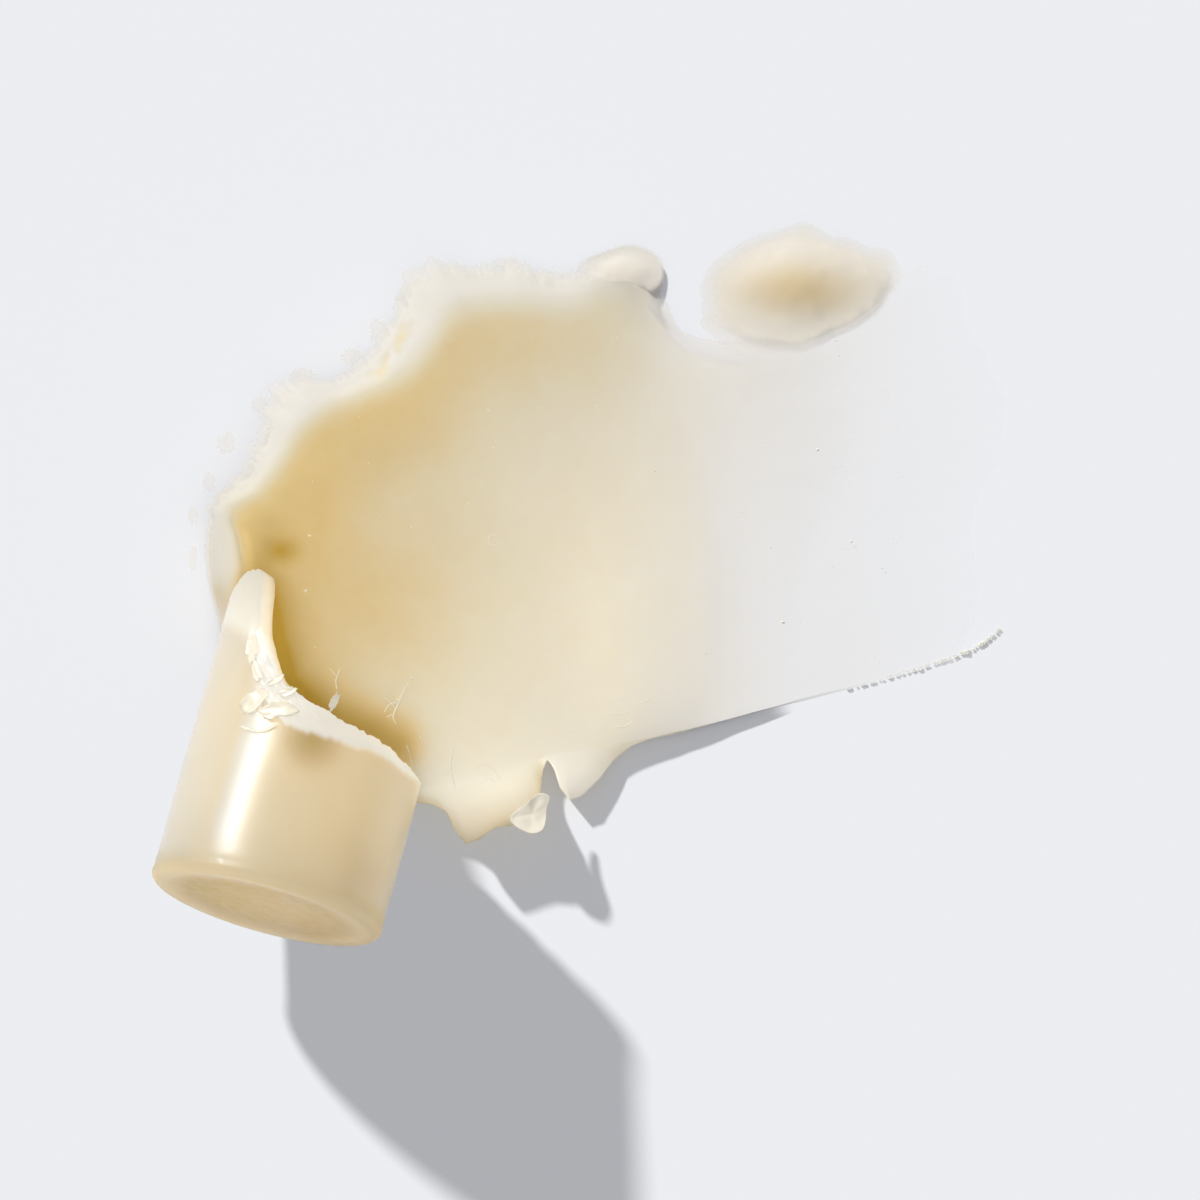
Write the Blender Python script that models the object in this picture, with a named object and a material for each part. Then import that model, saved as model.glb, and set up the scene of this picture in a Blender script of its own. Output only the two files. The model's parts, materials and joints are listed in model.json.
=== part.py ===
# The solid core of a face-balm stick, torn off and tipped up on the smear that it has spread.
# It is one soft wax throughout: a moulded stub with a rounded rim and a torn end, the strip of its
# wall that stands past the tear, and the spread with its ploughed ridge, film, flap and dollop.
# Metres, +Z up. The origin lies on the floor, under the middle of the bed.
# +X runs along the stroke towards the thin film, and +Y across it towards the ridge.
import math

import bmesh
import bpy
from mathutils import Vector
from mathutils.noise import noise

MM = 0.001

# what all the pieces share
CRACK = 0.32 * MM           # gap left where two pieces part
EDGE_THICKNESS = 0.35 * MM  # the thinnest that a feathered edge gets

# the moulded stub
STUB_DIAMETER = 17.0 * MM
STUB_LENGTH = 13.4 * MM     # flat end to the middle of the tear
STUB_TILT = math.radians(15.0)      # flat end up
STUB_HEADING = math.radians(15.1)   # the torn end points this far to the right of +Y
RIM_ROUND = 0.8 * MM
TOE_HEIGHT = 0.4 * MM       # the underside of the torn end above the floor
TOE_PLACE_SHARES = (-0.341, -0.258)  # in shares of the spread's length and width
TEAR_SLANT = 6.8 * MM       # how much longer the stub's left side is than its right
TEAR_CUP = 1.6 * MM         # how much further both sides reach than the middle
TEAR_WAVE = 0.25 * MM
TEAR_DISH = 1.2 * MM        # how far the torn face is scooped
TEAR_WAVES = 7

# the strip of the stub's wall that stands past the tear, from its left edge to its right one
TONGUE_LENGTH = 5.8 * MM
TONGUE_ROOT_THICKNESS = 2.4 * MM
TONGUE_TIP_THICKNESS = 0.9 * MM
TONGUE_START = math.radians(-88.0)   # angles round the stub, from its top towards its right
TONGUE_END = math.radians(-18.0)
TONGUE_REACH_SHARES = (0.25, 0.37, 0.55, 0.86, 0.98, 0.86, 0.52, 0.27, 0.08)

# the burr that the tear folded back over the stub, and the shards along it
BURR_THICKNESS = 0.4 * MM
BURR_WIDTH = 1.6 * MM
BURR_START = math.radians(-50.0)
BURR_END = math.radians(70.0)
BURR_WIDTH_SHARES = (0.5, 1.2, 1.5, 0.95, 0.7, 0.9, 0.6, 0.8, 0.4)
SHARD_LENGTH = 1.5 * MM
SHARD_WIDTH = 0.8 * MM
SHARD_THICKNESS = 0.35 * MM
SHARD_LEAN = math.radians(35.0)
SHARD_PLACE_SHARES = (0.33, 0.42, 0.55, 0.71, 0.88)  # along the burr, left to right

# the spread. Pairs of plan points are in shares of its length and width, from the origin
SPREAD_LENGTH = 62.0 * MM
SPREAD_WIDTH = 45.4 * MM
FOOT_SHARES = (             # the ridge's outer foot, from beside the stub to the ridge's end
    (-0.4655, 0.082), (-0.4455, 0.196), (-0.382, 0.313), (-0.272, 0.390),
    (-0.203, 0.478), (-0.0846, 0.533), (0.060, 0.549),
)
LOWER_SHARES = (            # the bed's lower edge, from beside the stub to the film
    (-0.1975, -0.300), (-0.1423, -0.2906), (-0.100, -0.2697), (-0.0623, -0.2456),
    (0.0235, -0.228), (0.1305, -0.188), (0.240, -0.1525),
)
REAR_SIDE_SHARES = (-0.95, 0.75)     # how far the bed's rear edge spans the stub, of its radius
REAR_FADE_SHARE = 0.25      # how far along the stroke the bed still follows the torn face
RIDGE_HEIGHT = 4.8 * MM
RIDGE_HEIGHT_SHARES = (0.90, 0.96, 0.94, 0.88, 0.80, 0.70, 0.52, 0.42, 0.14)
RIDGE_WIDTH_SHARES = (0.9, 0.95, 1.0, 1.0, 0.95, 0.88, 0.78, 0.55)
FOOT_THICKNESS = 0.6 * MM   # the ridge's outer foot stands this high off the floor
FOOT_WAVE = 0.45 * MM       # how far the outer foot wanders off its plain line
FOOT_WAVES = 26
CREST_INSET = 2.6 * MM      # outer foot to crest
INNER_SLOPE = 5.6 * MM      # crest to the crease where the ridge parts from the bed
RIDGE_LUMP = 0.7 * MM
RIDGE_PINCH_SHARE = 0.10    # how far the ridge sinks at the creases between its lobes
BED_THICKNESS = 3.0 * MM    # at the stub
BED_END_THICKNESS = 0.45 * MM
RIDGE_LOBES = (             # node name, and its stretch of the stroke in shares
    ("left_wall", 0.0, 0.27),
    ("lower_ridge", 0.27, 0.56),
    ("upper_ridge", 0.56, 0.86),
    ("ridge_end", 0.86, 1.0),
)

# the edge that lifts off the floor beside the stub
FLAP_REACH = 4.7 * MM
FLAP_LIFT = 4.1 * MM
FLAP_EDGE_THICKNESS = 0.6 * MM
FLAP_SPAN_SHARES = (0.125, 0.565)
FLAP_REACH_SHARES = (0.20, 0.55, 0.95, 0.92, 0.80, 0.83, 0.95, 0.80, 0.12)
FLAP_LIFT_SHARES = (0.72, 0.80, 0.83, 0.88, 0.95, 0.96, 0.95, 0.70, 0.16)

# the pale flake on the flap's corner
FLAKE_THICKNESS = 0.35 * MM
FLAKE_SPAN_SHARES = (0.70, 0.86)     # along the flap
FLAKE_REACH_SHARES = (0.62, 1.14)    # out across it

# the drip beside the flap
DRIP_REACH = 3.7 * MM
DRIP_LIFT = 1.4 * MM
DRIP_EDGE_THICKNESS = 0.5 * MM
DRIP_SPAN_SHARES = (0.585, 0.735)
DRIP_REACH_SHARES = (0.35, 0.85, 1.0, 0.80, 0.55, 0.30, 0.12)
DRIP_LIFT_SHARES = (0.45, 0.9, 1.0, 0.85, 0.7, 0.55, 0.45)

# the thin film past the bed
FILM_THICKNESS = 0.3 * MM
FILM_BULGE = 4.6 * MM       # how far its far edge bows out
FILM_UPPER_SHARES = (
    (0.160, 0.382), (0.235, 0.366), (0.300, 0.410), (0.362, 0.500), (0.453, 0.568),
)
FILM_LOWER_SHARES = (
    (0.297, -0.136), (0.350, -0.114), (0.400, -0.092), (0.440, -0.072), (0.470, -0.045),
)

# the heap above the film, laid along the film's upper edge
DOLLOP_HEIGHT = 2.8 * MM
DOLLOP_LUMP = 0.35 * MM
DOLLOP_SPAN_SHARES = (0.07, 0.80)    # along the film's upper edge
DOLLOP_OUTER_SHARES = (
    (0.1035, 0.488), (0.1234, 0.5426), (0.1787, 0.578), (0.249, 0.6165), (0.3127, 0.581), (0.3715, 0.540),
)
DOLLOP_HEIGHT_SHARES = (0.25, 0.72, 0.95, 1.0, 0.72, 0.2)
DOLLOP_CREST_SHARE = 0.6    # where its crest runs, from the film's edge outwards

# what has broken off along the edges
RIM_FLAKE_COUNT = 11
RIM_FLAKE_REACH = 2.1 * MM
RIM_FLAKE_WIDTH_SHARE = 0.055        # of the stroke, along the ridge's foot
RIM_FLAKE_ROOT_THICKNESS = 0.8 * MM
RIM_FLAKE_SPAN_SHARES = (0.13, 0.83)
RIM_FLAKE_REACH_SHARES = (0.30, 0.55, 0.42, 0.75, 0.38, 0.50, 0.34, 0.85, 1.0, 0.60, 0.30)
RIM_FLAKE_CRUMBLE_SHARE = 0.55       # how much of its reach a flake loses at its deepest notch
RIM_FLAKE_END_SHARE = 0.35           # how far its two ends reach, of its middle
RIM_FLAKE_NOTCHES = 4
TOOTH_COUNT = 8
TOOTH_LENGTH = 1.3 * MM
TOOTH_REACH = 0.55 * MM
TOOTH_SPAN_SHARES = (0.12, 0.94)     # along the film's lower edge

# facets
STUB_SEGMENTS = 64
SIDE_RINGS = 3
RIM_RINGS = 4
FACE_RINGS = 6

BALM = (0.80, 0.66, 0.40, 1.0)
PALE_BALM = (0.86, 0.79, 0.62, 1.0)
FILM_BALM = (0.84, 0.82, 0.75, 1.0)

stub_radius = STUB_DIAMETER / 2


def new_material(name, colour, roughness):
    material = bpy.data.materials.new(name)
    material.use_nodes = True
    shader = material.node_tree.nodes["Principled BSDF"]
    shader.inputs["Base Color"].default_value = colour
    shader.inputs["Roughness"].default_value = roughness
    shader.inputs["Metallic"].default_value = 0.0
    return material


def add_object(name, bm, material, smooth_angle=50.0):
    bmesh.ops.recalc_face_normals(bm, faces=bm.faces[:])
    if bm.calc_volume(signed=True) < 0:
        bmesh.ops.reverse_faces(bm, faces=bm.faces[:])
    mesh = bpy.data.meshes.new(name)
    bm.to_mesh(mesh)
    bm.free()
    mesh.shade_smooth()
    mesh.set_sharp_from_angle(angle=math.radians(smooth_angle))
    mesh.materials.append(material)
    made = bpy.data.objects.new(name, mesh)
    bpy.context.scene.collection.objects.link(made)
    return made


def ease(share):
    share = min(max(share, 0.0), 1.0)
    return share * share * (3 - 2 * share)


def mix(start, end, share):
    return start + (end - start) * share


def through(values, share):
    # a Catmull-Rom curve through evenly spaced values, which are numbers or vectors
    last = len(values) - 1
    place = min(max(share, 0.0), 1.0) * last
    start = min(int(place), last - 1)
    t = place - start
    p1 = values[start]
    p2 = values[start + 1]
    p0 = values[start - 1] if start > 0 else 2 * p1 - p2
    p3 = values[start + 2] if start + 2 <= last else 2 * p2 - p1
    bend = (p2 - p0) * t + (2 * p0 - 5 * p1 + 4 * p2 - p3) * t ** 2
    return 0.5 * (2 * p1 + bend + (3 * p1 - p0 - 3 * p2 + p3) * t ** 3)


def on_floor(pair):
    return Vector((pair[0] * SPREAD_LENGTH, pair[1] * SPREAD_WIDTH, 0.0))


def raised(point, height):
    return Vector((point.x, point.y, height))


# The stub lies along stub_axis, which points from its flat end to its torn end and down.
# stub_right and stub_up complete its own frame.
heading = Vector((math.sin(STUB_HEADING), math.cos(STUB_HEADING), 0.0))
stub_right = Vector((math.cos(STUB_HEADING), -math.sin(STUB_HEADING), 0.0))
stub_axis = heading * math.cos(STUB_TILT) - Vector((0.0, 0.0, math.sin(STUB_TILT)))
stub_up = heading * math.sin(STUB_TILT) + Vector((0.0, 0.0, math.cos(STUB_TILT)))
toe = raised(on_floor(TOE_PLACE_SHARES), TOE_HEIGHT)
flat_centre = toe - stub_axis * STUB_LENGTH + stub_up * stub_radius


def stub_point(around, radius, along):
    # an angle from the stub's top towards its right, a distance off its axis, and one along it
    out = stub_right * math.sin(around) + stub_up * math.cos(around)
    return flat_centre + stub_axis * along + out * radius


def tear_reach(side):
    # how far from the flat end the tear lies, where side runs -1 at the left to 1 at the right
    return STUB_LENGTH - TEAR_SLANT / 2 * side + TEAR_CUP * side * side


def tear_edge(around):
    wave = TEAR_WAVE * math.sin(TEAR_WAVES * around) * math.cos((TEAR_WAVES - 3) * around)
    return tear_reach(math.sin(around)) + wave


def make_stub(material):
    # rings of one outline, from the flat end's rim, up the side and into the torn face
    rings = []
    for step in range(RIM_RINGS + 1):
        turn = math.pi / 2 * step / RIM_RINGS
        radius = stub_radius - RIM_ROUND * (1 - math.sin(turn))
        rings.append((radius, RIM_ROUND * (1 - math.cos(turn)), 0.0))
    for step in range(1, SIDE_RINGS + 1):
        rings.append((stub_radius, RIM_ROUND, step / SIDE_RINGS))
    for step in range(1, FACE_RINGS):
        rings.append((stub_radius * (1 - step / FACE_RINGS), RIM_ROUND, 1.0))

    bm = bmesh.new()
    circle = bmesh.ops.create_circle(bm, cap_ends=True, radius=1.0, segments=STUB_SEGMENTS)
    edges = bm.edges[:]
    for index, (radius, start, share) in enumerate(rings):
        if index:
            grown = bmesh.ops.extrude_edge_only(bm, edges=edges)["geom"]
            edges = [item for item in grown if isinstance(item, bmesh.types.BMEdge)]
            verts = [item for item in grown if isinstance(item, bmesh.types.BMVert)]
        else:
            verts = circle["verts"]
        for number, vert in enumerate(verts):
            if not index:
                around = 2 * math.pi * number / STUB_SEGMENTS
            else:
                around = angle_of(vert.co)
            tear = tear_edge(around) if radius == stub_radius else face_reach(around, radius)
            vert.co = stub_point(around, radius, mix(start, tear, share))
    bmesh.ops.contextual_create(bm, geom=edges)
    return add_object("balm_stub", bm, material)


def angle_of(point):
    across = point - flat_centre
    return math.atan2(across.dot(stub_right), across.dot(stub_up))


def face_reach(around, radius):
    # the torn face, scooped towards its middle
    share = radius / stub_radius
    edge = mix(tear_reach(math.sin(around) * share), tear_edge(around), share ** 6)
    return edge - TEAR_DISH * (1 - share * share)


def add_sheet(name, cells, top, underside, material):
    # a closed body over a grid of shares: its upper points from top, its lower ones from underside
    bm = bmesh.new()
    grid = bmesh.ops.create_grid(bm, x_segments=cells[0], y_segments=cells[1], size=1.0)["verts"]
    shares = [((vert.co.x + 1) / 2, (vert.co.y + 1) / 2) for vert in grid]
    lifted = bmesh.ops.extrude_face_region(bm, geom=bm.faces[:])["geom"]
    upper = [item for item in lifted if isinstance(item, bmesh.types.BMVert)]
    places = [((vert.co.x + 1) / 2, (vert.co.y + 1) / 2) for vert in upper]
    for vert, pair in zip(grid, shares):
        vert.co = underside(*pair)
    for vert, pair in zip(upper, places):
        vert.co = top(*pair)
    return add_object(name, bm, material)


def make_tongue(material):
    def reach(side, out):
        around = mix(TONGUE_START, TONGUE_END, side)
        past = TONGUE_LENGTH * through(TONGUE_REACH_SHARES, side)
        return around, tear_edge(around) + CRACK + past * out

    def outer(side, out):
        around, along = reach(side, out)
        return stub_point(around, stub_radius, along)

    def inner(side, out):
        around, along = reach(side, out)
        thickness = mix(TONGUE_ROOT_THICKNESS, TONGUE_TIP_THICKNESS, out)
        return stub_point(around, stub_radius - thickness, along)

    return add_sheet("torn_tongue", (16, 6), outer, inner, material)


def burr_width(side):
    return BURR_WIDTH * through(BURR_WIDTH_SHARES, side)


def make_burr(material):
    def at(side, back, height):
        around = mix(BURR_START, BURR_END, side)
        return stub_point(around, stub_radius + height, tear_edge(around) - burr_width(side) * back)

    def outer(side, back):
        return at(side, back, CRACK + BURR_THICKNESS * (1 - 0.4 * back))

    def inner(side, back):
        return at(side, back, CRACK)

    return add_sheet("tear_burr", (28, 3), outer, inner, material)


def make_shards(material):
    # thin chips that stand along the tear, leaning out over it
    for number, place in enumerate(SHARD_PLACE_SHARES):
        around = mix(BURR_START, BURR_END, place)
        size = 0.75 + 0.25 * math.cos(2.4 * number)
        root = stub_point(around, stub_radius - CRACK, tear_edge(around) + CRACK)
        side = stub_point(around + math.pi / 2, stub_radius, 0.0) - flat_centre
        side.normalize()
        out = stub_point(around, stub_radius, 0.0) - flat_centre
        out.normalize()
        rise = stub_axis * math.cos(SHARD_LEAN) + out * math.sin(SHARD_LEAN)
        depth = out * math.cos(SHARD_LEAN) - stub_axis * math.sin(SHARD_LEAN)

        def front(across, up, root=root, side=side, rise=rise, size=size):
            taper = 1 - 0.75 * up
            return root + side * SHARD_WIDTH * (across - 0.5) * taper + rise * SHARD_LENGTH * size * up

        def back(across, up, front=front, depth=depth):
            return front(across, up) - depth * SHARD_THICKNESS * (1 - 0.5 * up)

        add_sheet(f"tear_shard_{number + 1}", (2, 3), front, back, material)


def ridge_width(stroke):
    return (CREST_INSET + INNER_SLOPE) * through(RIDGE_WIDTH_SHARES, stroke)


def bed_thickness(stroke, across):
    thin = BED_END_THICKNESS + (BED_THICKNESS - BED_END_THICKNESS) * (1 - min(stroke, 1.0)) ** 1.15
    return thin * (1 - 0.3 * across * across)


def spread_height(stroke, inset, across):
    # the spread's top, at a distance in from the ridge's outer foot
    width = ridge_width(stroke)
    crest_inset = width * CREST_INSET / (CREST_INSET + INNER_SLOPE)
    crest = RIDGE_HEIGHT * through(RIDGE_HEIGHT_SHARES, stroke)
    crest += RIDGE_LUMP * noise(Vector((stroke * 11, across * 3, 0.0))) * ease(stroke / REAR_FADE_SHARE)
    for name, start, end in RIDGE_LOBES[1:]:
        crease = max(0.0, 1 - abs(stroke - start) / 0.03)
        crest *= 1 - RIDGE_PINCH_SHARE * crease
    if inset < crest_inset:
        rise = math.sin(math.pi / 2 * max(inset, 0.0) / crest_inset) ** 0.8
        return mix(FOOT_THICKNESS, crest, rise)
    fall = ease((inset - crest_inset) / (width - crest_inset))
    return mix(crest, bed_thickness(stroke, across), fall)


def rear_edge(across):
    # where the spread meets the torn face, clear of it at the spread's own height there
    side = mix(REAR_SIDE_SHARES[0], REAR_SIDE_SHARES[1], across)
    span = (REAR_SIDE_SHARES[1] - REAR_SIDE_SHARES[0]) * stub_radius
    height = spread_height(0.0, across * span, across)
    reach = tear_reach(side) + TEAR_WAVE + CRACK * 1.15
    on_face = (height - flat_centre.z + reach * math.sin(STUB_TILT)) / math.cos(STUB_TILT)
    along = reach * math.cos(STUB_TILT) + on_face * math.sin(STUB_TILT)
    return raised(flat_centre + heading * along + stub_right * side * stub_radius, 0.0)


foot_points = [rear_edge(0.0)] + [on_floor(pair) for pair in FOOT_SHARES]
lower_points = [rear_edge(1.0)] + [on_floor(pair) for pair in LOWER_SHARES]


def foot_way(stroke):
    # the way out of the ridge's foot
    step = 0.01
    run = through(foot_points, stroke + step) - through(foot_points, stroke - step)
    return Vector((-run.y, run.x, 0.0)).normalized()


def foot_edge(stroke):
    # the outer foot, which wanders once it is past the stub
    wander = FOOT_WAVE * noise(Vector((stroke * FOOT_WAVES, 0.0, 0.0))) * ease(stroke / REAR_FADE_SHARE)
    return through(foot_points, stroke) + foot_way(stroke) * wander


def spread_plan(stroke, across):
    # stroke runs from the stub to the film, and across from the ridge's foot to the lower edge
    point = mix(foot_edge(stroke), through(lower_points, stroke), across)
    pull = max(0.0, 1 - stroke / REAR_FADE_SHARE) ** 2
    return point + (rear_edge(across) - mix(foot_points[0], lower_points[0], across)) * pull


def spread_span(stroke):
    return (through(lower_points, stroke) - through(foot_points, stroke)).length


def spread_top(stroke, inset):
    across = inset / spread_span(stroke)
    return raised(spread_plan(stroke, across), spread_height(stroke, inset, across))


def stroke_gap(stroke):
    # the share of the stroke that a crack takes up beside the ridge's foot
    step = 0.01
    moved = through(foot_points, min(stroke + step, 1.0)) - through(foot_points, stroke - step)
    share = 2 * step if stroke + step < 1 else step
    return CRACK / moved.length * share


def make_ridge(material):
    for name, start, end in RIDGE_LOBES:
        begin = start + stroke_gap(start) if start > 0 else start

        def top(along, inward, begin=begin, end=end):
            stroke = mix(begin, end, along)
            return spread_top(stroke, (ridge_width(stroke) - CRACK) * inward)

        def underside(along, inward, top=top):
            return raised(top(along, inward), 0.0)

        cells = max(5, round(38 * (end - start)))
        add_sheet(name, (cells, 10), top, underside, material)


def make_bed(material):
    def top(along, outward):
        inset = mix(ridge_width(along), spread_span(along), outward)
        return spread_top(along, inset)

    def underside(along, outward):
        return raised(top(along, outward), 0.0)

    add_sheet("smear_bed", (30, 12), top, underside, material)


def lower_edge(stroke):
    # a point of the bed's lower edge, and the way out of it
    step = 0.01
    point = through(lower_points, stroke)
    run = through(lower_points, stroke + step) - through(lower_points, stroke - step)
    return point, Vector((run.y, -run.x, 0.0)).normalized()


def lip(span, reach, reach_shares, lift, lift_shares, thickness):
    # a lip that grows out of the bed's lower edge and curls up off the floor
    def top(along, out):
        stroke = mix(span[0], span[1], along)
        point, way = lower_edge(stroke)
        edge = bed_thickness(stroke, 1.0)
        far = CRACK + reach * through(reach_shares, along) * out
        rise = max(lift * through(lift_shares, along), edge)
        return raised(point + way * far, mix(edge, rise, ease(out * 0.9)))

    def underside(along, out):
        upper = top(along, out)
        depth = mix(bed_thickness(mix(span[0], span[1], along), 1.0), thickness, ease(out * 1.6))
        return raised(upper, max(upper.z - depth, 0.0))

    return top, underside


def make_flap(material, pale_material):
    top, underside = lip(FLAP_SPAN_SHARES, FLAP_REACH, FLAP_REACH_SHARES,
                         FLAP_LIFT, FLAP_LIFT_SHARES, FLAP_EDGE_THICKNESS)
    add_sheet("lifted_flap", (22, 9), top, underside, material)

    # the flake lies along the flap's own surface, a crack above it
    def flake(side, out, height):
        along = mix(FLAKE_SPAN_SHARES[0], FLAKE_SPAN_SHARES[1], side)
        reach = mix(FLAKE_REACH_SHARES[0], FLAKE_REACH_SHARES[1], out)
        point = top(along, reach)
        return raised(point, point.z + CRACK * 1.2 + height)

    def flake_top(side, out):
        return flake(side, out, FLAKE_THICKNESS)

    def flake_under(side, out):
        return flake(side, out, 0.0)

    add_sheet("pale_flake", (5, 5), flake_top, flake_under, pale_material)


def make_drip(material):
    top, underside = lip(DRIP_SPAN_SHARES, DRIP_REACH, DRIP_REACH_SHARES,
                         DRIP_LIFT, DRIP_LIFT_SHARES, DRIP_EDGE_THICKNESS)
    add_sheet("drip_tongue", (12, 6), top, underside, material)


bed_end = (spread_plan(1.0, 1.0) - spread_plan(0.98, 1.0)).normalized()
film_upper_points = [spread_plan(1.0, ridge_width(1.0) / spread_span(1.0)) + bed_end * CRACK * 1.3]
film_upper_points += [on_floor(pair) for pair in FILM_UPPER_SHARES]
film_lower_points = [spread_plan(1.0, 1.0) + bed_end * CRACK * 1.3]
film_lower_points += [on_floor(pair) for pair in FILM_LOWER_SHARES]


def make_film(material):
    def under(along, across):
        point = mix(through(film_upper_points, along), through(film_lower_points, along), across)
        point.x += FILM_BULGE * math.sin(math.pi * across) * along ** 4
        return point

    def top(along, across):
        return raised(under(along, across), FILM_THICKNESS)

    add_sheet("smear_film", (16, 12), top, under, material)


def make_dollop(material):
    outer = [on_floor(pair) for pair in DOLLOP_OUTER_SHARES]

    def under(along, out):
        inner = through(film_upper_points, mix(DOLLOP_SPAN_SHARES[0], DOLLOP_SPAN_SHARES[1], along))
        far = through(outer, along)
        inner += (far - inner).normalized() * CRACK * 1.3
        return mix(inner, far, out)

    def top(along, out):
        crest = DOLLOP_HEIGHT * through(DOLLOP_HEIGHT_SHARES, along)
        crest += DOLLOP_LUMP * noise(Vector((along * 6, out * 4, 2.0)))
        if out < DOLLOP_CREST_SHARE:
            rise = ease(out / DOLLOP_CREST_SHARE)
        else:
            rise = math.sqrt(max(0.0, 1 - ((out - DOLLOP_CREST_SHARE) / (1 - DOLLOP_CREST_SHARE)) ** 2))
        return raised(under(along, out), mix(EDGE_THICKNESS, max(crest, EDGE_THICKNESS), rise))

    add_sheet("dollop", (22, 12), top, under, material)


def make_rim_flakes(material):
    # crumbled scales that lie against the ridge's outer foot and follow its run
    for number in range(RIM_FLAKE_COUNT):
        share = number / (RIM_FLAKE_COUNT - 1)
        middle = mix(RIM_FLAKE_SPAN_SHARES[0], RIM_FLAKE_SPAN_SHARES[1], share)
        longest = RIM_FLAKE_REACH * through(RIM_FLAKE_REACH_SHARES, share)

        def under(side, out, number=number, middle=middle, longest=longest):
            stroke = middle + RIM_FLAKE_WIDTH_SHARE * (side - 0.5)
            notch = abs(noise(Vector((side * RIM_FLAKE_NOTCHES, number, 0.0))))
            crumble = 1 - RIM_FLAKE_CRUMBLE_SHARE * min(notch * 2, 1.0)
            rounded = mix(RIM_FLAKE_END_SHARE, 1.0, math.sin(math.pi * side))
            reach = CRACK * 1.6 + longest * rounded * crumble * out
            return foot_edge(stroke) + foot_way(stroke) * reach

        def top(side, out, under=under):
            return raised(under(side, out), mix(RIM_FLAKE_ROOT_THICKNESS, EDGE_THICKNESS, ease(out)))

        add_sheet(f"rim_flake_{number + 1}", (12, 3), top, under, material)


def make_film_teeth(material):
    # the small torn teeth along the film's lower edge
    step = 0.01
    for number in range(TOOTH_COUNT):
        share = mix(TOOTH_SPAN_SHARES[0], TOOTH_SPAN_SHARES[1], number / (TOOTH_COUNT - 1))
        run = through(film_lower_points, share + step) - through(film_lower_points, share - step)
        run.normalize()
        way = Vector((run.y, -run.x, 0.0))
        size = 0.7 + 0.3 * math.sin(2.6 * number)
        root = through(film_lower_points, share) + way * CRACK * 1.5

        def under(side, out, root=root, run=run, way=way, size=size):
            along = TOOTH_LENGTH * size * (side - 0.5) * (1 - 0.6 * out)
            return root + run * along + way * TOOTH_REACH * size * out

        def top(side, out, under=under):
            return raised(under(side, out), mix(FILM_THICKNESS, EDGE_THICKNESS, out) + FILM_THICKNESS * out)

        add_sheet(f"film_tooth_{number + 1}", (3, 2), top, under, material)


def main():
    for leftover in list(bpy.data.objects):
        bpy.data.objects.remove(leftover, do_unlink=True)
    balm = new_material("balm", BALM, 0.38)
    pale = new_material("torn_balm", PALE_BALM, 0.5)
    film = new_material("balm_film", FILM_BALM, 0.45)
    make_stub(balm)
    make_tongue(balm)
    make_burr(pale)
    make_shards(pale)
    make_ridge(balm)
    make_bed(balm)
    make_flap(balm, pale)
    make_drip(balm)
    make_film(film)
    make_dollop(balm)
    make_rim_flakes(pale)
    make_film_teeth(pale)


main()
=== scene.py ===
import json
import random
from math import cos, exp, hypot, pi, radians, sin, sqrt

import bmesh
import bpy
from mathutils import Matrix, Vector, noise
from mathutils.bvhtree import BVHTree


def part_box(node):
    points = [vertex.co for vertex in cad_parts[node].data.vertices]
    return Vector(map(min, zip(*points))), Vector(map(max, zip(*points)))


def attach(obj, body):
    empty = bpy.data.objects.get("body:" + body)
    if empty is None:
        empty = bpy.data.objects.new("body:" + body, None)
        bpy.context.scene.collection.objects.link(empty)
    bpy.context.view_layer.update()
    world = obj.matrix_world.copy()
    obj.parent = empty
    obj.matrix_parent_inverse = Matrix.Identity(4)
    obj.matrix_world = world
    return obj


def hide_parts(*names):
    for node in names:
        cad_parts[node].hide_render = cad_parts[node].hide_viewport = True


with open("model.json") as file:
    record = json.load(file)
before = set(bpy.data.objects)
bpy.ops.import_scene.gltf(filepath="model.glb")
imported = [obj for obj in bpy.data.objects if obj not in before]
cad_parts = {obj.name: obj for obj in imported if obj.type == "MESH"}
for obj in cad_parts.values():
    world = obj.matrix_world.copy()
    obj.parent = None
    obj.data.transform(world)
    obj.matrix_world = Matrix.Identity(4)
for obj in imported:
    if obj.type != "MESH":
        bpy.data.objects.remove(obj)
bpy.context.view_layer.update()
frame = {"record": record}
mm = 0.001

# how the photograph was taken: straight down, from far enough to be nearly flat
photo = dict(width=1200, pixelsPerMm=13.72, cameraHeight=600 * mm, sensor=36.0)


def photoPlace(x, y, height=0.0):
    # the point at that height that shows at pixel (x, y) of the photograph
    nearer = 1 - height / photo["cameraHeight"]
    across = (x - photo["width"] / 2) / photo["pixelsPerMm"] * mm * nearer
    up = (photo["width"] / 2 - y) / photo["pixelsPerMm"] * mm * nearer
    return Vector((across, up, height))


def photoPixel(point):
    # the pixel that a point low over the floor shows at
    x = photo["width"] / 2 + point.x / mm * photo["pixelsPerMm"]
    y = photo["width"] / 2 - point.y / mm * photo["pixelsPerMm"]
    return Vector((x, y))


def mix(a, b, share):
    return a + (b - a) * share


def ease(share):
    share = min(max(share, 0.0), 1.0)
    return share * share * (3 - 2 * share)


def climb(value, start, length):
    # 0 before start and 1 a length further on; a negative length turns it round
    return ease((value - start) / length)


def bump(value, middle, width):
    return exp(-((value - middle) / width) ** 2)


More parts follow.
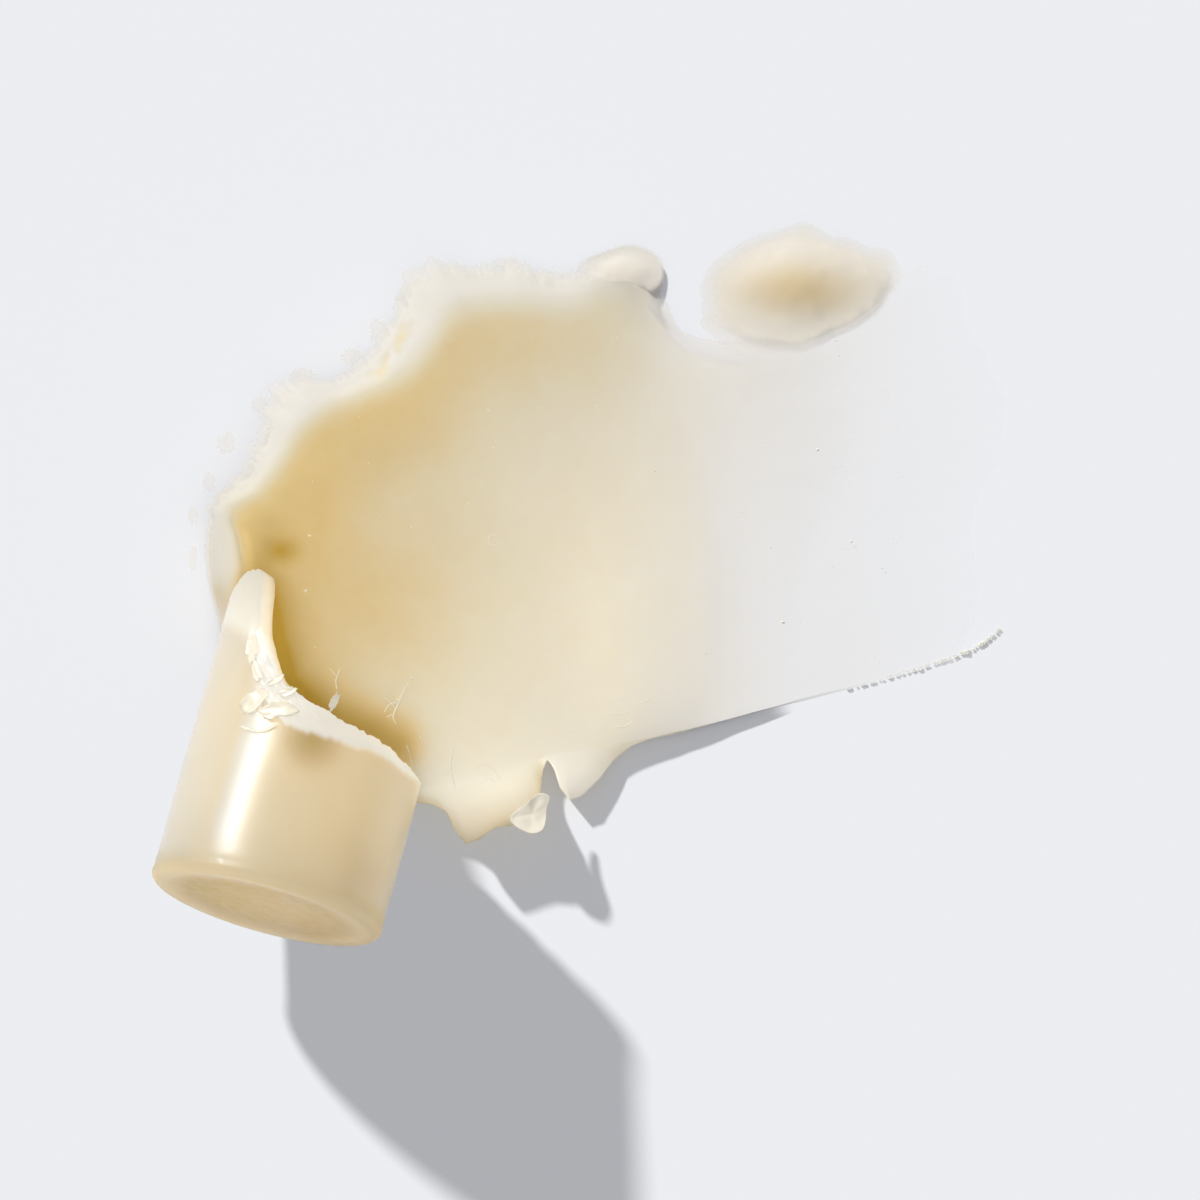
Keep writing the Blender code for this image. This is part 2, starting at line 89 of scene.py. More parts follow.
def curveThrough(points, place):
    # Catmull-Rom through evenly spaced values or vectors, at a place counted in points
    last = len(points) - 1
    place = min(max(place, 0.0), last)
    start = min(int(place), last - 1)
    t = place - start
    p1 = points[start]
    p2 = points[start + 1]
    p0 = points[start - 1] if start > 0 else 2 * p1 - p2
    p3 = points[start + 2] if start + 2 <= last else 2 * p2 - p1
    turn = (p2 - p0) * t + (2 * p0 - 5 * p1 + 4 * p2 - p3) * t ** 2
    return 0.5 * (2 * p1 + turn + (3 * p1 - p0 - 3 * p2 + p3) * t ** 3)


def loopThrough(points, share):
    # the same round a closed outline, from 0 to 1
    count = len(points)
    place = share % 1.0 * count
    first = int(place)
    near = [points[(first + k - 1) % count] for k in range(4)]
    return curveThrough(near, 1 + place - first)


def readOff(table, place):
    # straight runs between the rows of a table of (place, value)
    if place <= table[0][0]:
        return table[0][1]
    for (a, first), (b, second) in zip(table, table[1:]):
        if place <= b:
            return mix(first, second, (place - a) / (b - a))
    return table[-1][1]


def grain(x, y, z=0.0, size=1.0):
    # smooth noise from -1 to 1, over features of that size
    return noise.noise(Vector((x, y, z)) / size)


def wavy(place, waves):
    # waves say how strong, how fine and where in the noise
    return sum(strong * grain(place * fine, at) for strong, fine, at in waves)


def lumpy(point, lumps):
    # lumps say how strong, where in the noise and how many millimetres large
    return sum(strong * grain(point.x, point.y, at, size * mm) for strong, at, size in lumps)


def numbered(name, count):
    return ["%s_%d" % (name, k) for k in range(1, count + 1)]


def nearLine(pixel, points):
    # how far a pixel lies from a line of pixels
    gaps = []
    for a, b in zip(points, points[1:]):
        a = Vector(a)
        way = Vector(b) - a
        share = min(max((pixel - a).dot(way) / way.length_squared, 0.0), 1.0)
        gaps.append((pixel - a - way * share).length)
    return min(gaps)


# what the wax reads from each point of a mesh, where a piece says nothing else; lit is a painted glow that
# stands in for light coming through it, and soft is how much gentler its slopes are shaded
paints = dict(amber=0.0, cover=1.0, torn=0.0, film=0.0, dull=0.0, lit=0.0, soft=0.0)


def newMesh():
    bm = bmesh.new()
    for name in paints:
        bm.verts.layers.float.new(name)
    return bm


def paint(bm, vert, **shown):
    for name, plain in paints.items():
        vert[bm.verts.layers.float[name]] = shown.get(name, plain)


def addSheet(bm, columns, rows, shape):
    # a closed sheet; shape(u, v) gives a point on top, the point under it, and the paint of both
    before = bm.calc_volume(signed=True)
    low = bmesh.ops.create_grid(bm, x_segments=columns, y_segments=rows, size=1.0)["verts"]
    faces = {face for vert in low for face in vert.link_faces}
    grown = bmesh.ops.extrude_face_region(bm, geom=list(faces))["geom"]
    high = [item for item in grown if isinstance(item, bmesh.types.BMVert)]
    made = {}
    for side, verts in enumerate((high, low)):
        for vert in verts:
            key = (round((vert.co.x + 1) / 2 * columns), round((vert.co.y + 1) / 2 * rows))
            if key not in made:
                made[key] = shape(key[0] / columns, key[1] / rows)
            vert.co = made[key][side]
            paint(bm, vert, **made[key][2 + side])
    closed = list({face for vert in low + high for face in vert.link_faces})
    bmesh.ops.recalc_face_normals(bm, faces=closed)
    if bm.calc_volume(signed=True) < before:
        bmesh.ops.reverse_faces(bm, faces=closed)


def ragged(angle, seed, waves):
    # how far out an uneven outline is at that angle
    x = cos(angle)
    y = sin(angle)
    return 1 + sum(strong * grain(x * fine, y * fine, seed + at) for strong, fine, at in waves)


def squareToDisc(u, v):
    # a square sheet bent round to a disc: how far out a point lies, and its turn from 0 to 1
    x = 2 * u - 1
    y = 2 * v - 1
    if abs(x) < 1e-9 and abs(y) < 1e-9:
        return 0.0, 0.0
    if abs(x) > abs(y):
        return abs(x), (y / x / 8 + (0.5 if x < 0 else 0.0)) % 1.0
    return abs(y), (0.25 - x / y / 8 + (0.5 if y < 0 else 0.0)) % 1.0


def softenNormals(mesh):
    up = Vector((0, 0, 1))
    soft = [value.value for value in mesh.attributes["soft"].data]
    if max(soft) > 0:
        normals = [mix(normal.vector, up, share).normalized()
                   for normal, share in zip(mesh.vertex_normals, soft)]
        mesh.normals_split_custom_set_from_vertices(normals)
    mesh.attributes.remove(mesh.attributes["soft"])


def newObject(name, data):
    made = bpy.data.objects.new(name, data)
    bpy.context.scene.collection.objects.link(made)
    return made


def newPiece(name, bm, material, nodes):
    # the mesh becomes a piece of the part, in place of those CAD nodes where it has any
    mesh = bpy.data.meshes.new(name)
    bm.to_mesh(mesh)
    bm.free()
    mesh.shade_smooth()
    softenNormals(mesh)
    mesh.materials.append(material)
    piece = newObject(name, mesh)
    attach(piece, "root")
    if nodes:
        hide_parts(*nodes)
    return piece


# shader maths written as expressions
class Wire:
    def __init__(self, maker, socket):
        self.maker = maker
        self.socket = socket

    def join(self, operation, first, second):
        return self.maker.node("ShaderNodeMath", dict(operation=operation), {0: first, 1: second})

    def __add__(self, other):
        return self.join("ADD", self, other)

    def __sub__(self, other):
        return self.join("SUBTRACT", self, other)

    def __rsub__(self, other):
        return self.join("SUBTRACT", other, self)

    def __mul__(self, other):
        return self.join("MULTIPLY", self, other)

    __radd__ = __add__
    __rmul__ = __mul__

    def step(self, low, high):
        # 0 below low, 1 above high, and an eased climb between
        settings = dict(interpolation_type="SMOOTHSTEP")
        return self.maker.node("ShaderNodeMapRange", settings, {0: self, 1: low, 2: high, 3: 0.0, 4: 1.0})

    def held(self):
        return self.maker.node("ShaderNodeClamp", {}, {0: self, 1: 0.0, 2: 1.0})


class Maker:
    def __init__(self, name):
        self.material = bpy.data.materials.new(name)
        self.material.use_nodes = True
        self.tree = self.material.node_tree
        self.shader = self.tree.nodes["Principled BSDF"]

    def put(self, socket, value):
        if isinstance(value, Wire):
            self.tree.links.new(value.socket, socket)
        elif isinstance(value, (tuple, list)) and len(value) == 3 and socket.type == "RGBA":
            socket.default_value = (*value, 1.0)
        else:
            socket.default_value = value

    def node(self, kind, settings, values, output=0):
        made = self.tree.nodes.new(kind)
        for setting, value in settings.items():
            setattr(made, setting, value)
        for key, value in values.items():
            self.put(made.inputs[key], value)
        return Wire(self, made.outputs[output])

    def set(self, **values):
        for name, value in values.items():
            self.put(self.shader.inputs[name.replace("_", " ")], value)

    def ray(self, kind):
        return self.node("ShaderNodeLightPath", {}, {}, kind)

    def place(self):
        return self.node("ShaderNodeTexCoord", {}, {}, "Object")

    def noise(self, place, scale, detail=3.0, roughness=0.5):
        values = {"Vector": place, "Scale": scale, "Detail": detail, "Roughness": roughness}
        return self.node("ShaderNodeTexNoise", {}, values, "Fac")

    def value(self, name):
        return self.node("ShaderNodeAttribute", dict(attribute_name=name), {}, "Fac")

    def blend(self, share, first, second):
        made = self.tree.nodes.new("ShaderNodeMix")
        made.data_type = "RGBA"
        for key, value in ((0, share), (6, first), (7, second)):
            self.put(made.inputs[key], value)
        return Wire(self, made.outputs[2])

    def relief(self, height, distance, strength):
        return self.node("ShaderNodeBump", {}, {"Strength": strength, "Distance": distance, "Height": height})


def sheen(hexColour):
    # a display colour such as "e8dcc0" as the linear values that a shader takes
    shares = [int(hexColour[k:k + 2], 16) / 255 for k in (0, 2, 4)]
    return tuple(c / 12.92 if c <= 0.04045 else ((c + 0.055) / 1.055) ** 2.4 for c in shares)


# one wax for the whole part, in the tones it takes where it is thin, thick, torn or smeared
tones = dict(
    pale="f1e9d5", cream="ecdebb", amber="e4c78a", deep="c2982f", rim="ece4d2", torn="f6eed9", film="eae8df",
    glow="f2e9d6", thinPale="f5eee0", thinAmber="e2cda2", thinFilm="fbfbf9", thinRim="fbf6ea", flake="eae3d0",
    chipPaintedShade="c9c1ac", stubPale="efdfba", stubCream="fbdea5", stubAmber="e9c688", stubDeep="cdaa60",
)
wax = dict(
    {name: sheen(tone) for name, tone in tones.items()},
    # how far light spreads in it, the least cover that still shows, and how strong the painted glow is that
    # stands in for light coming through
    scatter=(1.0, 0.85, 0.55), stubDepth=90.0 * mm, spreadDepth=24.0 * mm, moundDepth=9.0 * mm,
    refraction=1.44, thinnest=0.22, litGlow=0.4,
)


def waxMaker(name, depth, roughness):
    made = Maker(name)
    made.shader.subsurface_method = "BURLEY"
    made.set(Subsurface_Weight=1.0, Subsurface_Radius=wax["scatter"], Subsurface_Scale=depth,
             Roughness=roughness, IOR=wax["refraction"])
    return made


def waxColour(made, warm, pale, cream, amber, deep):
    # pale at 0, cream at 0.5, amber at 1 and deep at 2
    colour = made.blend((warm * 2).held(), wax[pale], wax[cream])
    colour = made.blend((warm * 2 - 1.0).held(), colour, wax[amber])
    return made.blend((warm - 1.0).held(), colour, wax[deep])


def litThrough(made, colour):
    # painted glow: the lit paint makes the wax emit its own colour, in place of light coming through it
    glow = made.blend(made.value("lit").held(), (0.0, 0.0, 0.0), colour)
    made.set(Emission_Color=glow, Emission_Strength=wax["litGlow"])


def thinAlpha(made, seen, solid):
    # wax ends where it is too thin to see, and thin wax keeps no light from the paper under it
    seen = seen * made.node("ShaderNodeMath", dict(operation="GREATER_THAN"), {0: seen, 1: wax["thinnest"]})
    light = (made.ray("Is Shadow Ray") + made.ray("Is Diffuse Ray")).held()
    return (seen * (1 - light) + solid * light).held()


def addThin(made, thin, colour, alpha, normal):
    # thin wax lies on the paper like a coat of paint, and no light spreads inside it
    plain = made.tree.nodes.new("ShaderNodeBsdfPrincipled")
    for name, value in (("Base Color", colour), ("Alpha", alpha), ("Normal", normal), ("Roughness", 0.45),
                        ("Specular IOR Level", 0.2)):
        made.put(plain.inputs[name], value)
    both = made.node("ShaderNodeMixShader", {}, {0: thin})
    made.tree.links.new(made.shader.outputs[0], both.socket.node.inputs[1])
    made.tree.links.new(plain.outputs[0], both.socket.node.inputs[2])
    made.tree.links.new(both.socket, made.tree.nodes["Material Output"].inputs["Surface"])


def stubWax():
    made = waxMaker("stubWax", wax["stubDepth"], 0.3)
    here = made.place()
    cloud = made.noise(here, 110.0, 1.0, 0.4)
    warm = made.value("amber") + (cloud - 0.5) * 0.35
    colour = waxColour(made, warm, "stubPale", "stubCream", "stubAmber", "stubDeep")
    colour = made.blend(made.value("torn").held(), colour, wax["torn"])
    fine = made.noise(here, 1100.0, 6.0, 0.6)
    dents = made.noise(here, 160.0, 1.0)
    dull = (made.value("dull") * (1 + (fine - 0.5) * 1.2)).held()
    relief = made.relief(dents * 0.5 + fine * 0.12, 0.04 * mm, 0.08)
    made.set(Base_Color=colour, Roughness=(0.3 + fine * 0.05 + dull * 0.2).held(), Coat_Weight=1 - dull,
             Coat_Roughness=0.28, Coat_IOR=1.6, Normal=relief)
    litThrough(made, colour)
    return made.material


def spreadWax(name, depth, coat=0.0):
    # thick wax that light spreads in, a clear film and a crumbled rim; coat is how much is drawn as thin wax
    made = waxMaker(name, depth, 0.4)
    here = made.place()
    film = made.value("film")
    cover = made.value("cover")
    torn = made.value("torn")
    cloud = made.noise(here, 170.0, 5.0, 0.55)
    curds = made.noise(here, 620.0, 3.0, 0.5)
    puffs = made.noise(here, 270.0, 3.0, 0.5)
    fine = made.noise(here, 1500.0, 3.0, 0.6)
    along = {"Vector": here, "Rotation": (0.0, 0.0, 0.25), "Scale": (70.0, 260.0, 200.0)}
    drawn = made.noise(made.node("ShaderNodeMapping", {}, along), 1.0, 5.0, 0.6)
    warm = made.value("amber") + (cloud - 0.5) * 0.22 + (curds - 0.5) * 0.16
    colour = waxColour(made, warm, "pale", "cream", "amber", "deep")
    colour = made.blend(film.held(), colour, wax["film"])
    colour = made.blend((torn + (curds - 0.5) * 0.4 * torn).held(), colour, wax["rim"])
    # where the cover runs out the wax is cloudy and half clear, and a film only thins
    fading = cover * (1 - cover) * (1 - (film * 4.0).held())
    broken = cover + ((puffs - 0.5) * 5.0 + (curds - 0.5) * 1.4) * fading
    thinned = cover * (1 + (drawn - 0.5) * 0.3)
    seen = (broken.held() * (1 - film) + thinned.held() * film).held()
    thick = seen.step(0.7, 1.0)
    solid = thick * (1 - film.step(0.75, 0.95))
    alpha = thinAlpha(made, seen + (1 - seen) * solid, solid)
    relief = made.relief(curds * 0.4 + fine * 0.2 + drawn * 0.3, 0.05 * mm, 0.2)
    made.set(Base_Color=colour, Alpha=alpha, Roughness=(0.36 + curds * 0.14).held(), Normal=relief)
    litThrough(made, colour)
    thinColour = made.blend(warm.held(), wax["thinPale"], wax["thinAmber"])
    thinColour = made.blend(film.held(), thinColour, wax["thinFilm"])
    thinColour = made.blend(torn.held(), thinColour, wax["thinRim"])
    inside = thick * (1 - film.step(0.0, 0.5)) * (1 - torn.held() * 0.85) * (1 - coat)
    addThin(made, (1 - inside).held(), thinColour, alpha, relief)
    return made.material


def tornWax(name, strength, tone="flake", glow=0.12):
    # whitish and half clear, as wax is where it has been pulled apart, with a painted glow in place of light
    # coming through it
    made = Maker(name)
    here = made.place()
    fine = made.noise(here, 1300.0, 5.0, 0.6)
    cloud = made.noise(here, 300.0, 4.0, 0.6)
    colour = made.blend((made.value("amber") + (cloud - 0.5) * 0.3).held(), wax[tone], wax["cream"])
    cover = made.value("cover") * (strength + (cloud - 0.5) * 0.6 + (fine - 0.5) * 0.3)
    made.set(Base_Color=colour, Alpha=thinAlpha(made, cover.held(), cover.step(0.8, 1.6)), Roughness=0.35,
             IOR=wax["refraction"], Normal=made.relief(fine, 0.02 * mm, 0.2), Emission_Color=wax["glow"],
             Emission_Strength=glow)
    return made.material


# the stub and the strip of its wall that stands past the tear
flatEnd = next(mount for mount in frame["record"]["mounts"] if mount["name"] == "flat_end")
stub = dict(
    radius=8.5 * mm, centre=Vector(flatEnd["pos_m"]), axis=-Vector(flatEnd["axis"]), rim=0.7 * mm,
    rings=dict(flat=16, rim=7, wall=84, inner=12, face=14), segments=300,
    # how far along the ragged edge stands: degrees round and millimetres
    edge=[(-180, 13.4), (-150, 15.6), (-120, 18.6), (-105, 19.8), (-97, 20.5), (-90, 21.1), (-79, 21.7),
          (-71, 22.3), (-66, 22.7), (-59, 22.8), (-53, 22.75), (-50, 22.5), (-48, 21.8), (-45, 20.2),
          (-40, 18.4), (-34, 17), (-27, 15.7), (-18, 14.3), (-5, 13.6), (13, 12.9), (37, 12.4), (68, 11.6),
          (90, 11.4), (120, 11.9), (150, 12.7), (180, 13.4)],
    # its raggedness, and the middle, slope and bow of the tear's plain run
    edgeWaves=[(0.22, 6, 3), (0.14, 24, 9)], tearRun=(13.4, -3.4, 1.6),
    tongueWall=2.3 * mm, tongueTip=1.1 * mm, flatDish=0.12 * mm, dish=1.3 * mm,
    lumps=dict(flat=0.05 * mm, wall=0.07 * mm, inner=0.15 * mm, face=0.35 * mm),
    # where the painted shade under the stub, the paler painted light of its sunward left side and the paler
    #     # painted light of its shaded right side start, and over how many degrees each grows
    paintedShadeUnderFrom=(88, 30), paintedLightLeftFrom=(-30, -22), paintedLightRightFrom=(30, 40),
    # degrees round, millimetres along and size, or only degrees and size; the last two are a paler painted
    # highlight strip under the specular strip
    warmSpot=(2, 10.9, 1.7), brownSpot=(55, 3, 24), flatPatch=(140, 4.4, 2.6), paintedHighlight=(-28, 7),
    paintedHighlightStreak=(-30, 6),
)
stub["right"] = stub["axis"].cross(Vector((0, 0, 1))).normalized()
stub["up"] = stub["right"].cross(stub["axis"]).normalized()


def stubPoint(around, radius, along):
    out = stub["right"] * sin(around) + stub["up"] * cos(around)
    return stub["centre"] + stub["axis"] * along + out * radius


def tearReach(side):
    # the tear's plain run, where side goes from -1 at the left to 1 at the right
    middle, slope, bow = stub["tearRun"]
    return (middle + slope * side + bow * side * side) * mm


def tearEdge(turn):
    # where the ragged edge stands at that angle round the stub
    return (readOff(stub["edge"], turn * 180 / pi) + wavy(turn, stub["edgeWaves"])) * mm


# the whitish torn band on the wall beside the tear: degrees round and width in millimetres
band = dict(
    width=[(-50, 0), (-41, 0.9), (-32, 2.2), (-22, 2.9), (-12, 3), (0, 2.3), (8, 1.9), (16, 1.6),
           (24, 1.2), (31, 0.8), (38, 0.7), (60, 0.7), (78, 0.5), (100, 0)],
    waves=[(0.14, 6, 4), (0.07, 20, 8)], past=1, pastFrom=(-22, -14), foldHeight=0.3 * mm,
    foldSize=1.5 * mm, lip=0.1 * mm, folded=(-33, 12),
)


def tornBand(turn, along):
    # how far a point of the wall lies inside the torn band, and how high its folds stand there
    degrees = turn * 180 / pi
    wide = readOff(band["width"], degrees) * mm
    wide *= 1 + wavy(turn, band["waves"])
    past = band["past"] * mm * climb(degrees, *band["pastFrom"])
    top = tearReach(sin(turn)) + past
    depth = along - (top - wide)
    inside = ease(depth / (0.5 * mm)) * ease(wide / (0.5 * mm))
    inside *= ease((top + 1.2 * mm - along) / (1.6 * mm) + 0.2)
    across = turn * stub["radius"]
    size = band["foldSize"]
    fold = 1 - abs(grain(across, along * 1.3, 6.0 * mm, size)) * 2.4
    fold += 0.45 * (1 - abs(grain(across, along, 2.0 * mm, size / 3)) * 2.4)
    folded = mix(0.15, 1.0, bump(degrees, *band["folded"]))
    rise = band["foldHeight"] * folded * max(fold - 0.35, -0.3)
    rise += band["lip"] * bump(depth, 0.4 * mm, 0.3 * mm)
    return inside, rise * inside


def buildStub():
    bm = newMesh()
    count = stub["segments"]
    bmesh.ops.create_circle(bm, cap_ends=True, radius=1.0, segments=count)
    slots = {vert: k for k, vert in enumerate(bm.verts)}
    edges = bm.edges[:]
    rings = [(kind, (k + 1) / rows) for kind, rows in stub["rings"].items() for k in range(rows)]
    r = stub["radius"]
    lumps = stub["lumps"]
    for index, (kind, share) in enumerate(rings[:-1]):        # the last one would be a point, and is poked
        if index:
            grown = bmesh.ops.extrude_edge_only(bm, edges=edges)["geom"]
            edges = [item for item in grown if isinstance(item, bmesh.types.BMEdge)]
            fresh = {}
            for vert in (item for item in grown if isinstance(item, bmesh.types.BMVert)):
                old = next(e.other_vert(vert) for e in vert.link_edges if e.other_vert(vert) in slots)
                fresh[vert] = slots[old]
            slots = fresh
        for vert, k in slots.items():
            turn = 2 * pi * k / count - pi
            degrees = turn * 180 / pi
            side = sin(turn)
            edge = tearEdge(turn)
            base = tearReach(side)
            torn = dull = lit = 0.0
            if kind == "flat":
                sunk = stub["flatDish"] * ease((1 - share) * 5)
                place = stubPoint(turn, (r - stub["rim"]) * share, 0.0)
                lump = lumps["flat"] * grain(place.x, place.y, place.z, 3 * mm) * (1 - share)
                place += stub["axis"] * (sunk + lump)
                around, out, size = stub["flatPatch"]
                patch = bump((place - stubPoint(radians(around), out * mm, 0.0)).length, 0, size * mm)
                amber = mix(0.5, 1.65 - 0.6 * side * share, ease((1 - share) * 3.0)) + 0.25 * patch
                dull = 0.8
            elif kind == "rim":
                angle = pi / 2 * share
                inwards = stub["rim"] * (1 - sin(angle))
                place = stubPoint(turn, r - inwards, stub["rim"] * (1 - cos(angle)))
                amber = 0.48
                dull = 1.0
            elif kind == "wall":
                along = mix(stub["rim"], edge, 1 - (1 - share) ** 1.3)
                past = climb(along, base, 1.5 * mm)
                inside, folds = tornBand(turn, along)
                lump = lumps["wall"] * grain(turn * 1.5, along * 160) + folds
                place = stubPoint(turn, r - 0.05 * mm + lump, along)
                # a whitish painted highlight strip along the specular strip
                paintedHighlightStreak = 0.45 * bump(degrees, *stub["paintedHighlightStreak"]) * climb(along, 1.5 * mm, 2 * mm)
                torn = max(inside * 0.85, past * 0.35, paintedHighlightStreak)
                # painted glow on the tongue and the torn band, stronger on the band's shaded right
                lit = 0.6 * past + inside * mix(0.28, 0.5, climb(degrees, 20, 30))
                dull = max(inside * 0.8, past * 0.6, climb(along, 1.9 * mm, -0.7 * mm))
                around, out, size = stub["warmSpot"]
                spot = hypot(radians(degrees - around) * r / mm, along / mm - out) / size
                around, out, size = stub["brownSpot"]
                brown = bump(hypot(degrees - around, (along / mm - out) * 9), 0, size)
                # painted shade: deeper amber underneath; painted light: paler on the sunward left and on the
                # shaded right
                under = climb(abs(degrees), *stub["paintedShadeUnderFrom"])
                left = climb(degrees, *stub["paintedLightLeftFrom"]) * (1 - under)
                right = climb(degrees, *stub["paintedLightRightFrom"])
                amber = 0.5 + 1.5 * bump(spot, 0, 1.0) + 0.35 * brown + 1.1 * under
                # paler along the specular strip: painted highlight
                amber -= 0.3 * left + 0.25 * bump(degrees, *stub["paintedHighlight"]) + 0.12 * right
                amber = mix(amber, 0.0, past)
            elif kind == "inner":
                wall = mix(stub["tongueTip"], stub["tongueWall"], share ** 0.7)
                along = mix(edge, base, ease(share))
                lump = lumps["inner"] * grain(turn * 5, share * 4)
                place = stubPoint(turn, r - wall + lump, along + lump)
                amber = mix(0.7, 1.7, ease(share * 1.8))
                torn = 0.3 * ease(1 - share * 5)
                # painted glow on the inner face of the tongue
                lit = 0.3 * ease((1.15 - share) * 2)
            else:
                radius = mix(r - stub["tongueWall"], 0.0, share)
                along = tearReach(side * radius / r) - stub["dish"] * ease(share * 1.3)
                place = stubPoint(turn, radius, along)
                place += stub["axis"] * lumps["face"] * grain(place.x, place.y, place.z, 1.6 * mm)
                amber = 1.2
            vert.co = place
            paint(bm, vert, amber=amber, torn=torn, dull=dull, lit=lit)
    cap = bmesh.ops.contextual_create(bm, geom=edges)["faces"]
    bmesh.ops.poke(bm, faces=cap)
    bmesh.ops.recalc_face_normals(bm, faces=bm.faces[:])
    piece = newPiece("balmStub", bm, stubWax(), ["balm_stub", "torn_tongue", "tear_burr"])
    piece.visible_diffuse = False        # so that the wax doesn't tint the paper beside it
    return piece


# loose flakes on the torn band: degrees round, millimetres along, length, width, lean and way
tear = dict(
    flakes=[(-31, 13.1, 2.6, 1.4, 0.02, 35), (-19, 12.3, 3, 1.3, 0.02, 75), (-41, 16.6, 2.2, 1, 0.02, 160),
            (-34, 15, 1.9, 0.8, 0.04, 140), (-23, 14.5, 1.3, 0.6, 0.06, 50), (-15, 13.9, 1.3, 0.6, 0.08, 65),
            (7, 13.9, 1.4, 0.5, 0.45, 5), (-30, 10.7, 1.6, 0.3, 0.03, 100), (-21, 10.9, 1.3, 0.25, 0.03, 60)],
    raised=0.08, nodes=5,
)


def buildTear():
    bm = newMesh()
    for number, (degrees, along, length, width, lean, turned) in enumerate(tear["flakes"]):
        around = radians(degrees)
        out = (stubPoint(around, 1.0, 0.0) - stubPoint(around, 0.0, 0.0)).normalized()
        side = stub["axis"].cross(out).normalized()
        way = stub["axis"] * cos(radians(turned)) + side * sin(radians(turned))
        lifted = stub["radius"] + tornBand(around, along * mm)[1] + tear["raised"] * mm
        bend = sin(radians(turned)) ** 2 / stub["radius"]
        middle = stubPoint(around, lifted, along * mm)
        addFlake(bm, middle, way, out, length * mm, width * mm, lean, number, bend=bend)
    nodes = numbered("tear_shard", tear["nodes"])
    # the tear flakes face the lamp, so they take a darker tone than their own: painted shade
    return newPiece("tearFlakes", bm, tornWax("tearFlakeWax", 1.6, "chipPaintedShade", 0.25), nodes)


def addFlake(bm, middle, way, out, length, width, lean, seed, cells=14, bend=0.0):
    # a thin uneven flake that leans off what it lies on along way, and is bent over it
    side = way.cross(out).normalized()
    shown = dict(amber=0.05)

    def shape(u, v):
        share, turn = squareToDisc(u, v)
        angle = 2 * pi * turn
        away = share * ragged(angle, seed, ((0.35, 1.3, 0.5), (0.3, 3.3, 3.5), (0.18, 8, 7.5)))
        x = away * cos(angle)
        y = away * sin(angle)
        curl = lean * length * 0.22 * (x + 1) ** 2 + 0.05 * width * y * y
        curl += 0.06 * width * grain(x * 2, y * 2, seed + 9.5)
        curl -= bend * ((x * length) ** 2 + (y * width) ** 2) / 8
        point = middle + way * x * length / 2 + side * y * width / 2 + out * curl
        return point, point - out * mix(0.1 * mm, 0.03 * mm, share), shown, shown

    addSheet(bm, cells, cells, shape)


